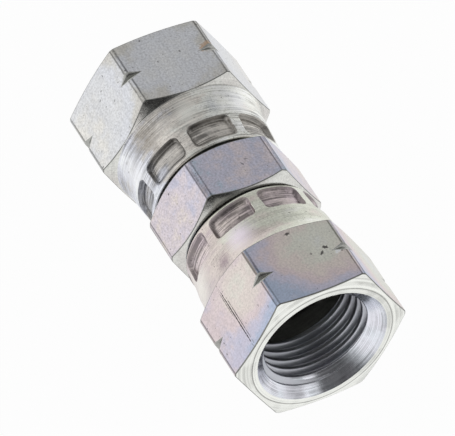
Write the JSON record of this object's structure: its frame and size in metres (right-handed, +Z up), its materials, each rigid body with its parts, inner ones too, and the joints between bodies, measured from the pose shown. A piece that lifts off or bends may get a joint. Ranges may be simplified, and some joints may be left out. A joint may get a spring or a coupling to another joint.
{
  "type": "jic fitting",
  "caption": "Straight hydraulic union with a crimped female swivel nut on each end of a hexagonal body; each end seals on a 37 degree seat inside the nut.",
  "frame": {"origin": "on the bore's axis at the middle of the hexagonal body", "axes": "+X along the bore's axis out of the mouth of swivel nut A, +Z up, square to the nut flats that face up"},
  "size_m": [0.045, 0.0216, 0.019],
  "materials": {
    "body_plating": "steel with clear blue passivated zinc plating, satin",
    "nut_plating": "steel with clear blue passivated zinc plating, satin, turned collar"
  },
  "bodies": {
    "body": {"hex_body": "body_plating"},
    "nut_a": {"swivel_nut_a": "nut_plating"},
    "nut_b": {"swivel_nut_b": "nut_plating"}
  },
  "joints": [
    {"name": "nut_a_swivel", "type": "hinge", "parent": "body", "child": "nut_a", "pos_m": [0.0108, 0, 0], "axis": [1, 0, 0], "continuous": true},
    {"name": "nut_b_swivel", "type": "hinge", "parent": "body", "child": "nut_b", "pos_m": [-0.0108, 0, 0], "axis": [1, 0, 0], "continuous": true}
  ]
}
